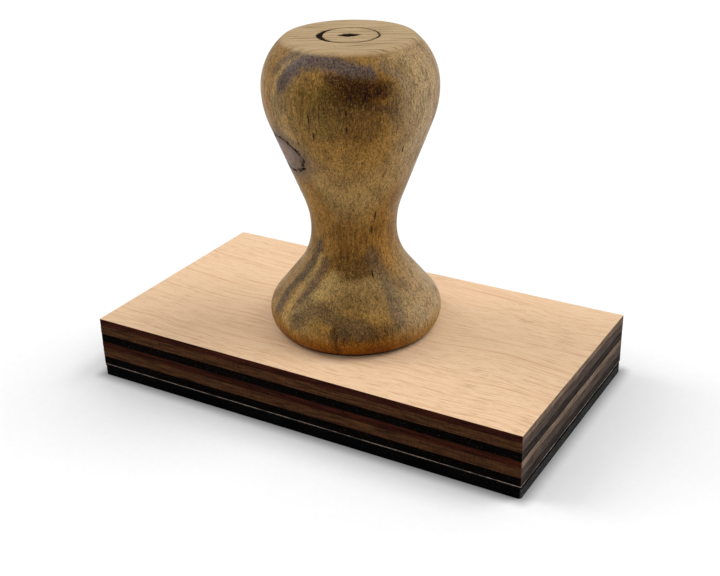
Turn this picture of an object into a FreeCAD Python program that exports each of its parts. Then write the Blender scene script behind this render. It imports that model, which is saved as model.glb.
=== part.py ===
import FreeCAD, Part
import math
import os
import Sketcher

# Hand stamp for paper crafts: a turned wooden handle, screwed from below to a block made of two
# laser-cut plywood panels, with a cushion and an engraved rubber die under the block.
#
# Frame: millimetres, +Z up. The origin is the centre of the printing face, so z = 0 is the surface
# that the stamp stands on. +X runs along the block's long side and +Y along its short side.

SHEET = "Dimensions"

DIMENSIONS = (
    # block and layers
    ("block_length", 110.0, "long side of the block"),
    ("block_width", 60.0, "short side of the block"),
    ("face_ply", 1.6, "thickness of a panel's upper ply"),
    ("core_ply", 2.4, "thickness of a panel's middle ply"),
    ("back_ply", 2.0, "thickness of a panel's lower ply"),
    ("glue_film", 0.1, "glue between the two panels"),
    ("tape", 0.2, "double-sided tape under the block"),
    ("foam", 0.5, "cushion between tape and die"),
    # rubber die
    ("die_thickness", 2.3, "whole thickness of the rubber"),
    ("relief_depth", 0.9, "depth of the engraved ground"),
    ("die_corner", 0.8, "radius of the die's upright corners"),
    ("frame_band", 3.0, "width of the raised band along the die's edge"),
    ("frame_gap", 1.8, "ground between the band and the fine line"),
    ("fine_line", 0.9, "width of the fine line"),
    ("stem_length", 68.0, "stem of the sprig"),
    ("stem_width", 1.2, "width of the stem"),
    ("leaf_length", 17.0, "length of a leaf"),
    ("leaf_width", 6.4, "width of a leaf"),
    ("leaf_pitch", 13.0, "distance between pairs of leaves"),
    ("leaf_angle", 48.0, "angle between a leaf and the stem"),
    ("stem_foot", 4.0, "bare stem below the first pair of leaves"),
    ("leaf_sunk", 1.0, "overlap of the end leaf with the stem"),
    ("berry_radius", 1.5, "round dots between the leaves"),
    ("berry_reach", 15.5, "distance of a dot from the stem"),
    # screw
    ("screw_length", 35.0, "whole length of the screw"),
    ("screw_radius", 2.0, "plain shank and thread crests"),
    ("screw_root", 1.4, "radius under the thread"),
    ("screw_head", 4.0, "radius of the countersunk head"),
    ("screw_sunk", 0.3, "depth of the head below the panel's face"),
    ("plain_shank", 13.0, "head and plain shank"),
    ("tip_length", 3.5, "cone at the screw's end"),
    ("thread_pitch", 1.8, "distance between thread ridges"),
    ("thread_count", 10.0, "number of ridges"),
    ("recess_length", 4.6, "cross recess, tip to tip"),
    ("recess_width", 0.9, "cross recess, one slot"),
    ("recess_depth", 1.4, "depth of the cross recess"),
    # handle
    ("handle_setback", 1.5, "distance of the handle's axis from the block's middle, towards -Y"),
    ("handle_height", 68.3, "handle from the block to its flat top"),
    ("foot_radius", 20.0, "widest radius of the foot"),
    ("foot_height", 4.5, "height of the foot's widest circle"),
    ("foot_arc", 5.7, "radius of the foot's rounded edge"),
    ("neck_radius", 9.8, "smallest radius"),
    ("neck_height", 24.5, "height of the smallest circle"),
    ("neck_lower_arc", 15.0, "hollow below the neck"),
    ("neck_upper_arc", 21.0, "hollow above the neck"),
    ("head_radius", 19.5, "widest radius of the head"),
    ("head_height", 57.3, "height of the head's widest circle"),
    ("head_arc", 20.6, "curve below the widest circle"),
    ("crown_arc", 13.9, "curve above the widest circle"),
    ("rim_round", 1.0, "rounding between crown and flat top"),
    ("ring_radius", 6.5, "middle of the ring mark on the flat top"),
    ("ring_width", 0.9, "width of the ring mark"),
    ("ring_depth", 0.6, "depth of the ring mark"),
    ("pit_radius", 2.2, "radius of the centre mark"),
    ("pit_depth", 1.3, "depth of the centre mark"),
)

LEAF_PAIRS = 5

os.makedirs("parts", exist_ok=True)
doc = FreeCAD.newDocument("hand_stamp")


def make_sheet():
    """Write the driving dimensions, one row each: name, value, meaning."""
    sheet = doc.addObject("Spreadsheet::Sheet", SHEET)
    for row, (alias, value, meaning) in enumerate(DIMENSIONS, start=1):
        sheet.set(f"A{row}", alias)
        sheet.set(f"B{row}", str(value))
        sheet.set(f"C{row}", meaning)
        sheet.setAlias(f"B{row}", alias)
    doc.recompute()
    return sheet


sheet = make_sheet()


def cell(name):
    """The expression that reads one driving dimension."""
    return f"{SHEET}.{name}"


def value(expression):
    """The present number of an expression."""
    return float(sheet.evalExpression(expression))


def total(*names):
    """The expression that adds driving dimensions up."""
    return " + ".join(cell(name) for name in names)


# Heights of the stack, from the printing face up, as expressions.
FOAM_LEVEL = total("die_thickness")
TAPE_LEVEL = total("die_thickness", "foam")
LOWER_LEVEL = total("die_thickness", "foam", "tape")
PANEL = total("back_ply", "core_ply", "face_ply")
GLUE_LEVEL = f"{LOWER_LEVEL} + {PANEL}"
UPPER_LEVEL = f"{GLUE_LEVEL} + {cell('glue_film')}"
HANDLE_LEVEL = f"{UPPER_LEVEL} + {PANEL}"
SCREW_LEVEL = f"{LOWER_LEVEL} + {cell('screw_sunk')}"

# The countersink ends with the lowest ply, and the hole above it is as wide as the cone is there.
BORE = f"{cell('screw_head')} - ({cell('back_ply')} - {cell('screw_sunk')})"


# ---------------------------------------------------------------- sketches and bodies

def new_body(name, level="0", on_axis=False):
    """A PartDesign body whose own origin lies at a height of the stack.

    The origin lies on the block's middle line or, for what the screw goes through, on its axis.
    """
    body = doc.addObject("PartDesign::Body", name)
    body.Label = name
    body.setExpression("Placement.Base.z", level)
    if on_axis:
        body.setExpression("Placement.Base.y", f"-{cell('handle_setback')}")
    return body


def new_sketch(body, name, role):
    """A sketch on one of the body's own origin planes."""
    sketch = body.newObject("Sketcher::SketchObject", name)
    plane = next(item for item in body.Origin.OriginFeatures if item.Role == role)
    sketch.AttachmentSupport = [(plane, "")]
    sketch.MapMode = "FlatFace"
    return sketch


def constrain(sketch, *terms):
    return sketch.addConstraint(Sketcher.Constraint(*terms))


def drive(sketch, kind, terms, expression):
    """A dimension whose number is bound to an expression."""
    index = constrain(sketch, kind, *terms, value(expression))
    sketch.setExpression(f"Constraints[{index}]", expression)


def pin(sketch, geometry, point, across, up):
    """Hold a point at two distances from the sketch's origin."""
    for kind, axis, expression in (("DistanceX", -2, across), ("DistanceY", -1, up)):
        if value(expression) == 0.0:
            constrain(sketch, "PointOnObject", geometry, point, axis)
        else:
            drive(sketch, kind, (-1, 1, geometry, point), expression)


def polygon(sketch, corners):
    """A closed outline of straight lines through corners given as pairs of expressions."""
    places = [FreeCAD.Vector(value(across), value(up), 0) for across, up in corners]
    first = sketch.GeometryCount
    for index, (across, up) in enumerate(corners):
        following = places[(index + 1) % len(places)]
        sketch.addGeometry(Part.LineSegment(places[index], following), False)
    for index, (across, up) in enumerate(corners):
        pin(sketch, first + index, 1, across, up)
        constrain(sketch, "Coincident", first + index, 2, first + (index + 1) % len(corners), 1)


def rectangle(sketch, length, width, shift="0"):
    """A rectangle, centred across the sketch's origin and shifted up from it."""
    half_x, half_y, up = value(length) / 2, value(width) / 2, value(shift)
    signs = ((-1, -1), (1, -1), (1, 1), (-1, 1))
    places = [FreeCAD.Vector(x * half_x, y * half_y + up, 0) for x, y in signs]
    first = sketch.GeometryCount
    for index in range(4):
        sketch.addGeometry(Part.LineSegment(places[index], places[(index + 1) % 4]), False)
    for index in range(4):
        constrain(sketch, "Coincident", first + index, 2, first + (index + 1) % 4, 1)
    constrain(sketch, "Symmetric", first, 1, first, 2, -2)
    constrain(sketch, "Vertical", first + 1)
    constrain(sketch, "Horizontal", first + 2)
    constrain(sketch, "Vertical", first + 3)
    drive(sketch, "DistanceX", (first, 1, first, 2), length)
    drive(sketch, "DistanceY", (first + 1, 1, first + 1, 2), width)
    drive(sketch, "DistanceY", (first, 1, -1, 1), f"{width} / 2 - {shift}")


def centred_circle(sketch, radius):
    """A circle about the sketch's origin."""
    circle = Part.Circle(FreeCAD.Vector(0, 0, 0), FreeCAD.Vector(0, 0, 1), value(radius))
    index = sketch.addGeometry(circle, False)
    constrain(sketch, "Coincident", index, 3, -1, 1)
    drive(sketch, "Radius", (index,), radius)


def pad(body, sketch, thickness):
    feature = body.newObject("PartDesign::Pad", f"{sketch.Name}_pad")
    feature.Profile = sketch
    feature.setExpression("Length", thickness)
    return feature


def pocket(body, sketch, depth):
    """Cut upwards from a sketch on the body's lower face."""
    feature = body.newObject("PartDesign::Pocket", f"{sketch.Name}_pocket")
    feature.Profile = sketch
    feature.Reversed = True
    feature.setExpression("Length", depth)
    return feature


def turned(body, sketch, kind):
    """Turn a sketch about its own upright axis: a Revolution adds and a Groove cuts."""
    feature = body.newObject(f"PartDesign::{kind}", f"{sketch.Name}_{kind.lower()}")
    feature.Profile = sketch
    feature.ReferenceAxis = (sketch, ["V_Axis"])
    feature.Angle = 360.0
    return feature


def is_upright(edge, box):
    return abs(edge.BoundBox.ZLength - box.ZLength) < 0.001


def lies_on_top(edge, box):
    return edge.BoundBox.ZMin > box.ZMax - 0.001


def rounded(body, feature, chosen, radius):
    """Round the edges of a feature that a test picks out by their place in its box."""
    doc.recompute()
    names = [f"Edge{number}" for number, edge in enumerate(feature.Shape.Edges, start=1)
             if chosen(edge, feature.Shape.BoundBox)]
    fillet = body.newObject("PartDesign::Fillet", f"{feature.Name}_round")
    fillet.Base = (feature, names)
    fillet.setExpression("Radius", radius)
    return fillet


# ---------------------------------------------------------------- block

def make_plate(name, thickness, level, bored):
    """One flat layer of the block, with the screw's hole through it where it has one."""
    body = new_body(name, level, on_axis=bored)
    outline = new_sketch(body, f"{name}_outline", "XY_Plane")
    shift = cell("handle_setback") if bored else "0"
    rectangle(outline, cell("block_length"), cell("block_width"), shift)
    if bored:
        centred_circle(outline, BORE)
    pad(body, outline, cell(thickness))
    return body


def cut_countersink(body):
    """Seat for the screw's head: a short bore, then a cone to the top of the ply."""
    seat = new_sketch(body, "countersink_outline", "XZ_Plane")
    polygon(seat, (("0", "0"), (cell("screw_head"), "0"), (cell("screw_head"), cell("screw_sunk")),
                   (BORE, cell("back_ply")), ("0", cell("back_ply"))))
    turned(body, seat, "Groove")


def make_panel(side, level):
    """A three-ply panel, as its plies from the bottom up."""
    core_level = f"{level} + {cell('back_ply')}"
    face_level = f"{core_level} + {cell('core_ply')}"
    return [make_plate(f"{side}_panel_back_ply", "back_ply", level, True),
            make_plate(f"{side}_panel_core_ply", "core_ply", core_level, True),
            make_plate(f"{side}_panel_face_ply", "face_ply", face_level, True)]


def make_block():
    lower = make_panel("lower", LOWER_LEVEL)
    cut_countersink(lower[0])
    film = make_plate("panel_glue_film", "glue_film", GLUE_LEVEL, True)
    upper = make_panel("upper", UPPER_LEVEL)
    tape = make_plate("mounting_tape", "tape", TAPE_LEVEL, False)
    foam = make_plate("cushion_foam", "foam", FOAM_LEVEL, False)
    return [*lower, film, *upper, tape, foam]


# ---------------------------------------------------------------- rubber die

def inside_edge(*names):
    """Length and width of a rectangle that lies inside the block's edge by a sum of widths."""
    inset = f"2 * ({total(*names)})"
    return f"({cell('block_length')} - {inset})", f"({cell('block_width')} - {inset})"


def make_die_ground():
    """The sheet of rubber, engraved from below but for its edge band and fine line."""
    body = new_body("die_ground")
    outline = new_sketch(body, "die_outline", "XY_Plane")
    rectangle(outline, cell("block_length"), cell("block_width"))
    slab = pad(body, outline, cell("die_thickness"))
    rounded(body, slab, is_upright, cell("die_corner"))
    gutter = new_sketch(body, "die_gutter", "XY_Plane")
    rectangle(gutter, *inside_edge("frame_band"))
    rectangle(gutter, *inside_edge("frame_band", "frame_gap"))
    pocket(body, gutter, cell("relief_depth"))
    field = new_sketch(body, "die_field", "XY_Plane")
    rectangle(field, *inside_edge("frame_band", "frame_gap", "fine_line"))
    pocket(body, field, cell("relief_depth"))
    return body


def make_leaf(name, x, y, angle):
    """A pointed leaf: what two equal cylinders have in common, turned to lie along an angle."""
    length, width = cell("leaf_length"), cell("leaf_width")
    arc = f"({length} * {length} + {width} * {width}) / (4 * {width})"
    halves = []
    for side in (1, -1):
        half = doc.addObject("Part::Cylinder", f"{name}_arc")
        half.setExpression("Radius", arc)
        half.setExpression("Height", cell("relief_depth"))
        half.setExpression("Placement.Base.y", f"{side} * ({arc} - {width} / 2)")
        halves.append(half)
    leaf = doc.addObject("Part::Common", name)
    leaf.Base, leaf.Tool = halves
    turn = FreeCAD.Rotation(FreeCAD.Vector(0, 0, 1), angle)
    leaf.Placement = FreeCAD.Placement(FreeCAD.Vector(x, y, 0), turn)
    return leaf


def make_berry(name, x, y):
    berry = doc.addObject("Part::Cylinder", name)
    berry.setExpression("Radius", cell("berry_radius"))
    berry.setExpression("Height", cell("relief_depth"))
    berry.Placement.Base = FreeCAD.Vector(x, y, 0)
    return berry


def make_sprig():
    """Stem, pairs of leaves with a dot between each two, and one leaf at the stem's end."""
    stem = doc.addObject("Part::Box", "stem")
    stem.setExpression("Length", cell("stem_length"))
    stem.setExpression("Width", cell("stem_width"))
    stem.setExpression("Height", cell("relief_depth"))
    sprig_length = f"({cell('stem_length')} + {cell('leaf_length')} - {cell('leaf_sunk')})"
    stem.setExpression("Placement.Base.x", f"-{sprig_length} / 2")
    stem.setExpression("Placement.Base.y", f"-{cell('stem_width')} / 2")
    pieces = [stem]
    angle, pitch = value(cell("leaf_angle")), value(cell("leaf_pitch"))
    reach = value(cell("leaf_length")) / 2
    run, rise = reach * math.cos(math.radians(angle)), reach * math.sin(math.radians(angle))
    foot = -value(sprig_length) / 2
    for pair in range(LEAF_PAIRS):
        root = foot + value(cell("stem_foot")) + pair * pitch
        for side in (1, -1):
            pieces.append(make_leaf("leaf", root + run, side * rise, side * angle))
            pieces.append(make_berry("berry", root, side * value(cell("berry_reach"))))
    pieces.append(make_leaf("end_leaf", -foot - reach, 0, 0))
    return pieces


def make_die():
    die = doc.addObject("Part::MultiFuse", "rubber_die")
    die.Label = "rubber_die"
    die.Shapes = [make_die_ground(), *make_sprig()]
    die.Refine = True
    return die


# ---------------------------------------------------------------- screw

def make_screw():
    """Countersunk wood screw, head down, with a thread of evenly spaced ridges."""
    body = new_body("handle_screw", SCREW_LEVEL, on_axis=True)
    head, shank, root = cell("screw_head"), cell("screw_radius"), cell("screw_root")
    plain, whole = cell("plain_shank"), cell("screw_length")
    blank = new_sketch(body, "screw_outline", "XZ_Plane")
    polygon(blank, (("0", "0"), (head, "0"), (shank, f"{head} - {shank}"), (shank, plain),
                    (root, f"{plain} + {shank} - {root}"),
                    (root, f"{whole} - {cell('tip_length')}"), ("0", whole)))
    turned(body, blank, "Revolution")

    pitch = cell("thread_pitch")
    start = f"{plain} + {pitch} / 2"
    ridge = new_sketch(body, "ridge_outline", "XZ_Plane")
    sunk = f"{root} - 0.2"
    polygon(ridge, ((sunk, start), (root, start), (shank, f"{start} + 0.3 * {pitch}"),
                    (shank, f"{start} + 0.36 * {pitch}"), (root, f"{start} + 0.6 * {pitch}"),
                    (sunk, f"{start} + 0.6 * {pitch}")))
    first_ridge = turned(body, ridge, "Revolution")
    doc.recompute()
    thread = body.newObject("PartDesign::LinearPattern", "thread")
    thread.Originals = [first_ridge]
    thread.Direction = (next(item for item in body.Origin.OriginFeatures
                             if item.Role == "Z_Axis"), [""])
    thread.setExpression("Length", f"{pitch} * ({cell('thread_count')} - 1)")
    thread.setExpression("Occurrences", cell("thread_count"))
    body.Tip = thread
    doc.recompute()

    slots = ((cell("recess_length"), cell("recess_width")),
             (cell("recess_width"), cell("recess_length")))
    for number, (length, width) in enumerate(slots):
        slot = new_sketch(body, f"recess_{number}", "XY_Plane")
        rectangle(slot, length, width)
        pocket(body, slot, cell("recess_depth"))
    return body


# ---------------------------------------------------------------- handle

def crossing_tangent(centre_a, radius_a, centre_b, radius_b, side):
    """Ends of the line that touches two circles on opposite sides."""
    gap = centre_b - centre_a
    turn = side * math.acos((radius_a + radius_b) / gap.Length)
    angle = math.atan2(gap.y, gap.x) + turn
    normal = FreeCAD.Vector(math.cos(angle), math.sin(angle), 0)
    return centre_a + normal * radius_a, centre_b - normal * radius_b


def arc_between(centre, start, end):
    """A circular arc, anticlockwise from one point to another."""
    circle = Part.Circle(centre, FreeCAD.Vector(0, 0, 1), (start - centre).Length)
    angles = [math.atan2(point.y - centre.y, point.x - centre.x) for point in (start, end)]
    if angles[1] < angles[0]:
        angles[1] += 2 * math.pi
    return Part.ArcOfCircle(circle, *angles)


def draw_handle_outline(sketch):
    """Half of the handle's section: foot, hollow neck, head and crown, as tangent arcs."""
    def number(name):
        return value(cell(name))

    def point(across, up):
        return FreeCAD.Vector(across, up, 0)

    foot_centre = point(number("foot_radius") - number("foot_arc"), number("foot_height"))
    contact = math.sqrt(number("foot_arc") ** 2 - number("foot_height") ** 2)
    sole = point(foot_centre.x + contact, 0)
    waist = point(number("neck_radius"), number("neck_height"))
    lower_centre = waist + point(number("neck_lower_arc"), 0)
    upper_centre = waist + point(number("neck_upper_arc"), 0)
    widest = point(number("head_radius"), number("head_height"))
    head_centre = widest - point(number("head_arc"), 0)
    crown_centre = widest - point(number("crown_arc"), 0)
    crown_rise = number("handle_height") - number("head_height")
    rim = crown_centre + point(math.sqrt(number("crown_arc") ** 2 - crown_rise ** 2), crown_rise)
    top = point(0, number("handle_height"))
    foot_end, slope_end = crossing_tangent(
        foot_centre, number("foot_arc"), lower_centre, number("neck_lower_arc"), -1)
    flank_start, flank_end = crossing_tangent(
        upper_centre, number("neck_upper_arc"), head_centre, number("head_arc"), 1)

    base, foot, slope, lower, upper, flank, head, crown, flat, axis = sketch.addGeometry([
        Part.LineSegment(point(0, 0), sole),
        arc_between(foot_centre, sole, foot_end),
        Part.LineSegment(foot_end, slope_end),
        arc_between(lower_centre, waist, slope_end),
        arc_between(upper_centre, flank_start, waist),
        Part.LineSegment(flank_start, flank_end),
        arc_between(head_centre, flank_end, widest),
        arc_between(crown_centre, widest, rim),
        Part.LineSegment(rim, top),
        Part.LineSegment(top, point(0, 0)),
    ], False)
    constrain(sketch, "Coincident", base, 1, -1, 1)
    constrain(sketch, "Horizontal", base)
    constrain(sketch, "Coincident", base, 2, foot, 1)
    constrain(sketch, "Tangent", foot, 2, slope, 1)
    constrain(sketch, "Tangent", slope, 2, lower, 2)
    constrain(sketch, "Tangent", lower, 1, upper, 2)
    constrain(sketch, "Tangent", upper, 1, flank, 1)
    constrain(sketch, "Tangent", flank, 2, head, 1)
    constrain(sketch, "Tangent", head, 2, crown, 1)
    constrain(sketch, "Coincident", crown, 2, flat, 1)
    constrain(sketch, "Horizontal", flat)
    constrain(sketch, "Coincident", flat, 2, axis, 1)
    constrain(sketch, "Coincident", axis, 2, -1, 1)
    constrain(sketch, "Vertical", axis)
    pin(sketch, foot, 3, f"{cell('foot_radius')} - {cell('foot_arc')}", cell("foot_height"))
    pin(sketch, lower, 1, cell("neck_radius"), cell("neck_height"))
    pin(sketch, head, 2, cell("head_radius"), cell("head_height"))
    drive(sketch, "DistanceY", (-1, 1, lower, 3), cell("neck_height"))
    drive(sketch, "DistanceY", (-1, 1, head, 3), cell("head_height"))
    drive(sketch, "DistanceY", (-1, 1, axis, 1), cell("handle_height"))
    for arc, radius in ((foot, "foot_arc"), (lower, "neck_lower_arc"), (upper, "neck_upper_arc"),
                        (head, "head_arc"), (crown, "crown_arc")):
        drive(sketch, "Radius", (arc,), cell(radius))


def make_handle(screw):
    """The turned handle: its outline, the marks on its flat top, and the screw's own hole."""
    body = new_body("handle_turning", HANDLE_LEVEL, on_axis=True)
    outline = new_sketch(body, "handle_outline", "XZ_Plane")
    draw_handle_outline(outline)
    blank = turned(body, outline, "Revolution")
    rounded(body, blank, lies_on_top, cell("rim_round"))

    marks = new_sketch(body, "top_marks", "XZ_Plane")
    top = cell("handle_height")
    inner = f"{cell('ring_radius')} - {cell('ring_width')} / 2"
    outer = f"{cell('ring_radius')} + {cell('ring_width')} / 2"
    floor = f"{top} - {cell('ring_depth')}"
    polygon(marks, ((inner, floor), (outer, floor), (outer, top), (inner, top)))
    turned(body, marks, "Groove")
    centre_mark = new_sketch(body, "centre_mark", "XZ_Plane")
    polygon(centre_mark, (("0", f"{top} - {cell('pit_depth')}"), (cell("pit_radius"), top),
                          ("0", top)))
    turned(body, centre_mark, "Groove")

    handle = doc.addObject("Part::Cut", "handle")
    handle.Label = "handle"
    handle.Base, handle.Tool = body, screw
    return handle


# ---------------------------------------------------------------- build and write

def check(subparts):
    """Stop at the first object that failed or sub-part that isn't a sound solid."""
    for item in doc.Objects:
        if {"Invalid", "Error"} & set(item.State):
            raise RuntimeError(f"{item.Name} failed: {item.State}")
    for item in subparts:
        if item.Shape.isNull() or not item.Shape.isValid() or len(item.Shape.Solids) != 1:
            raise RuntimeError(f"{item.Label} isn't one sound solid")


def main():
    screw = make_screw()
    subparts = [make_handle(screw), screw, *make_block(), make_die()]
    doc.recompute()
    check(subparts)
    for item in subparts:
        box = item.Shape.optimalBoundingBox(False)
        print(f"{item.Label}: {item.Shape.Volume:.1f} mm3, z {box.ZMin:.2f} to {box.ZMax:.2f}")
        item.Shape.exportStep(f"parts/{item.Label}.step")


main()
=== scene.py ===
import math

import bmesh
import bpy
from mathutils import Matrix, Vector, noise


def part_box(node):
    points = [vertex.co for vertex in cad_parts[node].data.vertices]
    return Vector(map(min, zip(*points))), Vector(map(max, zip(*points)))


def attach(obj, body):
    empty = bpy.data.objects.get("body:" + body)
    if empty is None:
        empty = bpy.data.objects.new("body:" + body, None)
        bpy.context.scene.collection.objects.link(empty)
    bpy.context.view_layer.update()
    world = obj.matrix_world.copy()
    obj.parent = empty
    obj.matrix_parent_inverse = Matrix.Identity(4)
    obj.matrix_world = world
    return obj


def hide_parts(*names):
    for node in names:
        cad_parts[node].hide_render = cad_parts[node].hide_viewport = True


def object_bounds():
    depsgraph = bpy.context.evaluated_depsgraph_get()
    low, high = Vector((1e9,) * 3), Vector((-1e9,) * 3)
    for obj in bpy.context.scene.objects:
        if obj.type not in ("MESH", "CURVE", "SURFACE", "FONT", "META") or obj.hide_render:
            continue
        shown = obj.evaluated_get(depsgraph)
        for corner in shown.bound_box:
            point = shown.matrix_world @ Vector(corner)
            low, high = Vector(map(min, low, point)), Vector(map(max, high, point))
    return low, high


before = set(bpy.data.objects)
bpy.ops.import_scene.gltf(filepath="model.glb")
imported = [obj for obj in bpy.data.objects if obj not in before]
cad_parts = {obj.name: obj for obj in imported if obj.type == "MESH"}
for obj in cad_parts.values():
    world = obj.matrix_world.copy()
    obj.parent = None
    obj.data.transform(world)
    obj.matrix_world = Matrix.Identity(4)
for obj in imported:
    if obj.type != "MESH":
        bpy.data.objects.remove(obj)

# Looks of the hand stamp: turned hardwood handle, laser-cut plywood block, tape, foam and die.
# Everything is in metres in the row frame. Materials and profiles are worked out in millimetres.

CAD_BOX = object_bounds()
MM = 0.001

HANDLE_LOW, HANDLE_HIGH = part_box("handle")
HANDLE_HEIGHT = (HANDLE_HIGH.z - HANDLE_LOW.z) / MM
BLOCK_TOP = HANDLE_LOW.z / MM
# the middle of the handle's sole
HANDLE_FOOT = Vector(((HANDLE_LOW.x + HANDLE_HIGH.x) / 2 / MM,
                      (HANDLE_LOW.y + HANDLE_HIGH.y) / 2 / MM, BLOCK_TOP))

# The camera: where it stands, where it looks, and its lens in millimetres on a 36 mm sensor.
CAMERA_PLACE = Vector((131.7, -220.7, 131.5 + BLOCK_TOP)) * MM
CAMERA_AZIMUTH = math.radians(30.77)
CAMERA_ELEVATION = math.radians(25.72)
CAMERA_ROLL = math.radians(-1.39)
CAMERA_LENS = 60.45

# The growth layers of the handle's wood lie across this direction, with a slight lean.
LAYER_TURN = math.radians(-59.2)
LAYER_NORMAL = (math.cos(LAYER_TURN), math.sin(LAYER_TURN), 0.035)


# ---------------------------------------------------------------- node graphs

def linear(red, green, blue):
    """A colour given as display values from 0 to 255, as linear light."""
    def channel(number):
        share = number / 255
        return share / 12.92 if share <= 0.04045 else ((share + 0.055) / 1.055) ** 2.4
    return (channel(red), channel(green), channel(blue), 1.0)


class Graph:
    """A material and short calls for its nodes. Its place is in millimetres from an origin."""

    def __init__(self, name, origin=(0, 0, 0)):
        self.material = bpy.data.materials.new(name)
        self.material.use_nodes = True
        self.tree = self.material.node_tree
        self.tree.nodes.clear()
        self.surface = self.add("ShaderNodeBsdfPrincipled")
        output = self.add("ShaderNodeOutputMaterial")
        self.tree.links.new(self.surface.outputs[0], output.inputs["Surface"])
        coordinates = self.add("ShaderNodeTexCoord").outputs["Object"]
        in_row = self.vector("SCALE", coordinates, scale=1 / MM)
        self.place = self.vector("SUBTRACT", in_row, tuple(origin))
        split = self.add("ShaderNodeSeparateXYZ")
        self.feed(split.inputs[0], self.place)
        self.x, self.y, self.z = split.outputs
        facing = self.add("ShaderNodeSeparateXYZ")
        self.feed(facing.inputs[0], self.add("ShaderNodeNewGeometry").outputs["Normal"])
        self.facing_x, _, self.facing_z = facing.outputs

    def add(self, kind):
        return self.tree.nodes.new(kind)

    def feed(self, socket, value):
        if isinstance(value, bpy.types.NodeSocket):
            self.tree.links.new(value, socket)
        else:
            socket.default_value = value

    def vector(self, operation, first, second=(0, 0, 0), scale=None):
        """A vector sum of any kind; scale takes the place of second for SCALE."""
        node = self.add("ShaderNodeVectorMath")
        node.operation = operation
        self.feed(node.inputs[0], first)
        if scale is None:
            self.feed(node.inputs[1], second)
        else:
            self.feed(node.inputs["Scale"], scale)
        return node.outputs["Value" if operation in {"LENGTH", "DOT_PRODUCT"} else "Vector"]

    def combine(self, x, y, z):
        """A vector from its three parts."""
        node = self.add("ShaderNodeCombineXYZ")
        for socket, value in zip(node.inputs, (x, y, z)):
            self.feed(socket, value)
        return node.outputs[0]

    def math(self, operation, first, second=0.0, third=0.0, clamp=False):
        node = self.add("ShaderNodeMath")
        node.operation = operation
        node.use_clamp = clamp
        for socket, value in zip(node.inputs, (first, second, third)):
            self.feed(socket, value)
        return node.outputs[0]

    def step(self, value, low, high, to_low=0.0, to_high=1.0):
        """Smooth step from to_low at low to to_high at high."""
        node = self.add("ShaderNodeMapRange")
        node.interpolation_type = "SMOOTHSTEP"
        node.clamp = False
        for socket, number in zip(node.inputs, (value, low, high, to_low, to_high)):
            self.feed(socket, number)
        return node.outputs[0]

    def noise(self, size, stretch=(1, 1, 1), detail=3.0, roughness=0.55, seed=0.0, place=None):
        """Noise from 0 to 1 whose features are size millimetres, times stretch along each axis."""
        shrunk = tuple(1 / (size * axis) for axis in stretch)
        moved = self.vector("ADD", place or self.place, (seed * 37.1, seed * 11.7, seed * 23.3))
        node = self.add("ShaderNodeTexNoise")
        self.feed(node.inputs["Vector"], self.vector("MULTIPLY", moved, shrunk))
        self.feed(node.inputs["Scale"], 1.0)
        self.feed(node.inputs["Detail"], detail)
        self.feed(node.inputs["Roughness"], roughness)
        return node.outputs[0]

    def mix(self, factor, first, second, blend="MIX"):
        node = self.add("ShaderNodeMix")
        node.data_type = "RGBA"
        node.blend_type = blend
        self.feed(node.inputs["Factor"], factor)
        colour_inputs = [socket for socket in node.inputs if socket.type == "RGBA"]
        self.feed(colour_inputs[0], first)
        self.feed(colour_inputs[1], second)
        return next(socket for socket in node.outputs if socket.type == "RGBA")

    def ramp(self, value, low, high, stops):
        """Colours along a value: stops are (value, colour), between low and high."""
        node = self.add("ShaderNodeValToRGB")
        node.color_ramp.interpolation = "B_SPLINE"
        self.feed(node.inputs[0], self.step_linear(value, low, high))
        elements = node.color_ramp.elements
        while len(elements) < len(stops):
            elements.new(0.5)
        for element, (where, colour) in zip(elements, stops):
            element.position = (where - low) / (high - low)
            element.color = colour
        return node.outputs[0]

    def step_linear(self, value, low, high):
        """A value's share of the way from low to high."""
        return self.math("DIVIDE", self.math("SUBTRACT", value, low), high - low)

    def shade(self, colour, amount, share):
        """Darken a colour where amount is high, by up to share."""
        keep = self.math("SUBTRACT", 1.0, self.math("MULTIPLY", amount, share))
        return self.mix(1.0, colour, self.grey(keep), "MULTIPLY")

    def grey(self, value):
        """A value as a colour."""
        node = self.add("ShaderNodeCombineColor")
        for socket in node.inputs[:3]:
            self.feed(socket, value)
        return node.outputs[0]

    def blob(self, centre, sizes, turn=0.0):
        """A soft ellipsoid: 1 at its centre and 0 at its surface, with its x axis turned."""
        offset = self.vector("SUBTRACT", self.place, centre)
        node = self.add("ShaderNodeVectorRotate")
        node.rotation_type = "Z_AXIS"
        self.feed(node.inputs["Vector"], offset)
        self.feed(node.inputs["Angle"], -turn)
        scaled = self.vector("MULTIPLY", node.outputs[0], tuple(1 / size for size in sizes))
        return self.step(self.vector("LENGTH", scaled), 1.0, 0.25)

    def stroke(self, places, width, seed=0.0):
        """A soft ragged stroke along a line of places: 1 in its middle and 0 past its width."""
        nearest = 1000.0
        for start, end in zip(places, places[1:]):
            run = Vector(end) - Vector(start)
            offset = self.vector("SUBTRACT", self.place, tuple(start))
            share = self.vector("DOT_PRODUCT", offset, tuple(run / run.length_squared))
            share = self.math("MAXIMUM", self.math("MINIMUM", share, 1.0), 0.0)
            along = self.vector("SCALE", tuple(run), scale=share)
            gap = self.vector("LENGTH", self.vector("SUBTRACT", offset, along))
            nearest = self.math("MINIMUM", nearest, gap)
        ragged = self.noise(1.1, stretch=(1, 1, 3.0), seed=seed, detail=4, roughness=0.62)
        reach = width * 1.2
        nearest = self.math("ADD", nearest, self.math("MULTIPLY_ADD", ragged, reach, -reach / 2))
        return self.step(nearest, width, width * 0.25)

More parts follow.
